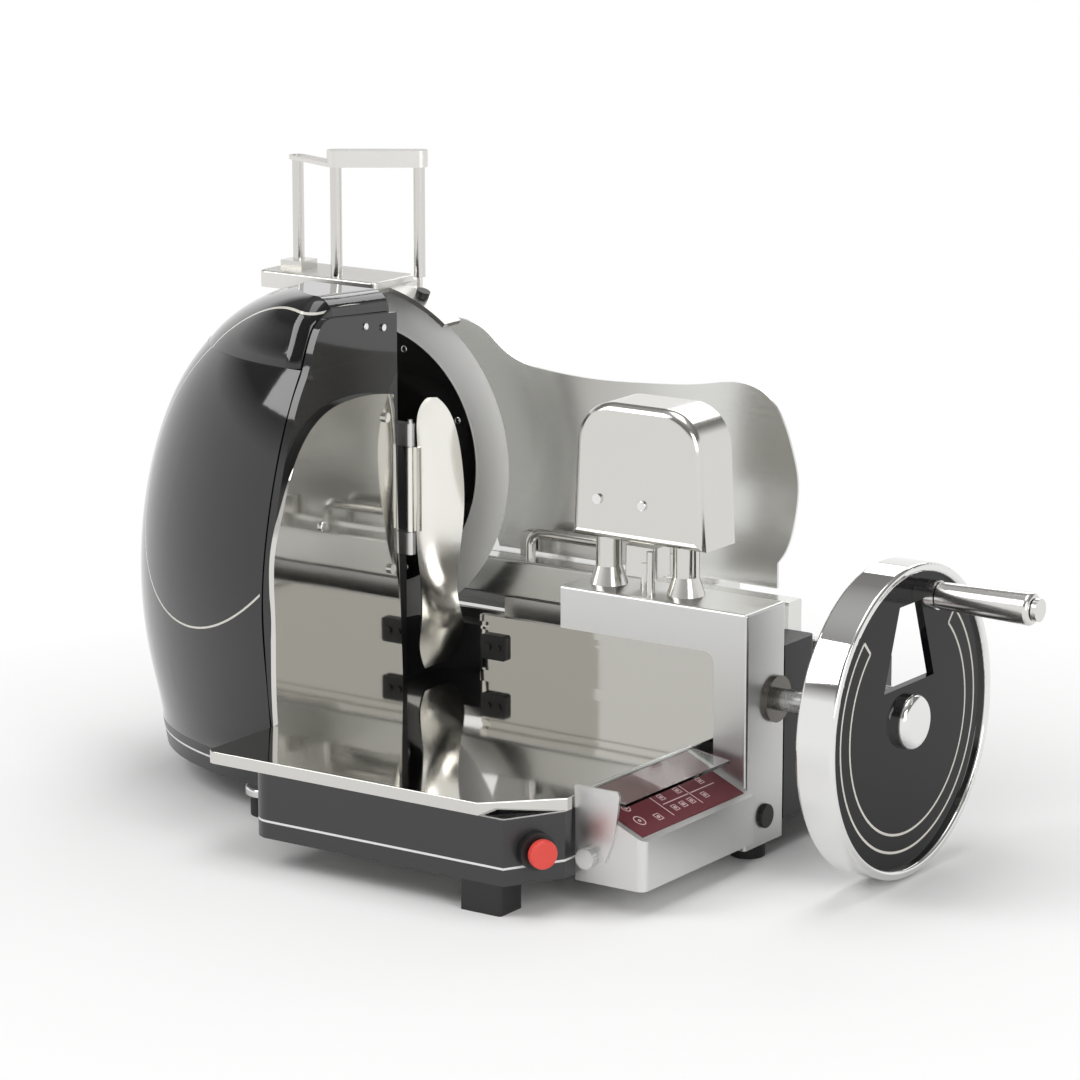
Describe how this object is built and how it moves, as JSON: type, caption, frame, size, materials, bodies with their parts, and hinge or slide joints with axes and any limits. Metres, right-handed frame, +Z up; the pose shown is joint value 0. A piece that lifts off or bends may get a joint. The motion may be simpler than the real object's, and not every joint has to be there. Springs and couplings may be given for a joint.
{
  "type": "meat slicer",
  "caption": "Flywheel meat slicer with an egg-shaped black housing, round knife, crank wheel, sliding carriage, bridge press and mirror slice tray",
  "frame": {"origin": "on the table under the middle of the machine's bounding box", "axes": "+X right towards the crank wheel, +Y back away from the operator, +Z up"},
  "size_m": [1.005, 0.544, 0.6365],
  "materials": {
    "gloss_black": "high gloss enamel",
    "dark_base": "satin dark grey paint",
    "mirror_steel": "mirror polished stainless",
    "brushed_steel": "fine brushed",
    "cast_aluminium": "brushed and polished casting",
    "chrome_trim": "bright chrome",
    "blade_steel": "ground and polished",
    "black_plastic": "moulded, satin",
    "rubber_foot": "matt",
    "keypad_film": "burgundy film with pale symbols",
    "clear_plastic": "clear acrylic",
    "red_plastic": "moulded",
    "grip_black": "turned and polished",
    "stone_grit": "bonded abrasive",
    "drive_steel": "turned",
    "brass_bush": "bronze bushing"
  },
  "bodies": {
    "machine": {"body_base": "dark_base", "base_housing": "dark_base", "rear_base": "dark_base", "slice_tray": "mirror_steel", "side_frame": "gloss_black", "egg_cover": "gloss_black", "egg_top": "gloss_black", "back_plate": "black_plastic", "spindle_bush": "brass_bush", "arch_plate": "mirror_steel", "arch_screws": "chrome_trim", "frame_screws": "chrome_trim", "hinge_lugs": "brushed_steel", "guard_ring": "chrome_trim", "top_cap": "cast_aluminium", "stone_posts": "chrome_trim", "fence_panel": "mirror_steel", "fence_bracket": "black_plastic", "bridge_frame": "cast_aluminium", "bridge_plug": "black_plastic", "main_bushes": "brass_bush", "gearbox_column": "black_plastic", "press_posts": "chrome_trim", "press_clamp": "brushed_steel", "control_box": "brushed_steel", "keypad": "keypad_film", "lid_bracket": "brushed_steel", "estop_collar": "black_plastic", "front_foot": "black_plastic", "disc_foot": "rubber_foot", "foot_disc": "chrome_trim", "rubber_feet": "rubber_foot", "carriage_rails": "drive_steel", "drive_frame": "dark_base"},
    "carriage": {"carriage_saddle": "cast_aluminium", "carriage_arm": "brushed_steel", "meat_table": "brushed_steel", "meat_fork": "chrome_trim", "feed_rods": "chrome_trim"},
    "pusher": {"pusher_plate": "cast_aluminium"},
    "flywheel": {"wheel_rim": "chrome_trim", "wheel_disc": "gloss_black", "hub_cap": "chrome_trim", "crank_pin": "chrome_trim", "main_shaft": "drive_steel"},
    "grip": {"crank_grip": "grip_black"},
    "idler": {"idler_gear": "drive_steel"},
    "lay": {"layshaft": "drive_steel"},
    "upright": {"upright_shaft": "drive_steel"},
    "knife": {"blade": "blade_steel", "blade_spindle": "drive_steel"},
    "scoop": {"deflector": "mirror_steel"},
    "knob": {"guard_knob": "black_plastic"},
    "sharpener": {"stone_bracket": "cast_aluminium", "stones": "stone_grit"},
    "press": {"press_casing": "brushed_steel", "press_screws": "chrome_trim"},
    "lid": {"clear_lid": "clear_plastic"},
    "thumb": {"thumbscrew": "chrome_trim"},
    "stop": {"estop_button": "red_plastic"}
  },
  "joints": [
    {"name": "flywheel_spin", "type": "hinge", "parent": "machine", "child": "flywheel", "pos_m": [0.2905, 0.047, 0.155], "axis": [1, 0, 0], "continuous": true},
    {"name": "grip_spin", "type": "hinge", "parent": "flywheel", "child": "grip", "pos_m": [0.4345, 0.08267, 0.27167], "axis": [1, 0, 0], "continuous": true},
    {"name": "idler_spin", "type": "hinge", "parent": "machine", "child": "idler", "pos_m": [0.2185, 0.047, 0.1147], "axis": [1, 0, 0], "continuous": true},
    {"name": "lay_spin", "type": "hinge", "parent": "machine", "child": "lay", "pos_m": [-0.0095, 0.047, 0.0744], "axis": [1, 0, 0], "continuous": true},
    {"name": "upright_spin", "type": "hinge", "parent": "machine", "child": "upright", "pos_m": [-0.3025, 0.047, 0.2], "axis": [0, 0, 1], "continuous": true},
    {"name": "blade_spin", "type": "hinge", "parent": "machine", "child": "knife", "pos_m": [-0.3025, 0.121, 0.32], "axis": [0, 1, 0], "continuous": true},
    {"name": "carriage_slide", "type": "slide", "parent": "machine", "child": "carriage", "axis": [1, 0, 0], "range_m": [-0.23, 0]},
    {"name": "feed_slide", "type": "slide", "parent": "carriage", "child": "pusher", "axis": [0, 1, 0], "range_m": [0, 0.04]},
    {"name": "press_slide", "type": "slide", "parent": "machine", "child": "press", "axis": [0, 0, 1], "range_m": [0, 0.06]},
    {"name": "sharpener_slide", "type": "slide", "parent": "machine", "child": "sharpener", "axis": [0, 0, 1], "range_m": [-0.01, 0]},
    {"name": "knob_turn", "type": "hinge", "parent": "machine", "child": "knob", "pos_m": [-0.23133, 0.121, 0.49617], "axis": [0.3746, 0, 0.9272], "continuous": true},
    {"name": "deflector_swing", "type": "hinge", "parent": "machine", "child": "scoop", "pos_m": [-0.1975, 0.05, 0.3], "axis": [0, 0, 1], "range_deg": [-70, 0]},
    {"name": "lid_hinge", "type": "hinge", "parent": "machine", "child": "lid", "pos_m": [0.1795, -0.111, 0.1105], "axis": [0, 1, 0], "range_deg": [-95, 0]},
    {"name": "thumbscrew_turn", "type": "hinge", "parent": "machine", "child": "thumb", "pos_m": [0.1885, -0.206, 0.05], "axis": [0, 1, 0], "continuous": true},
    {"name": "stop_press", "type": "slide", "parent": "machine", "child": "stop", "axis": [0.8749, -0.4843, 0], "range_m": [-0.003, 0], "stiffness_N_per_m": 400}
  ],
  "couplings": [
    {"joint": "idler_spin", "follows": "flywheel_spin", "ratio": -1},
    {"joint": "lay_spin", "follows": "flywheel_spin", "ratio": 1},
    {"joint": "upright_spin", "follows": "flywheel_spin", "ratio": -2},
    {"joint": "blade_spin", "follows": "flywheel_spin", "ratio": -4}
  ]
}
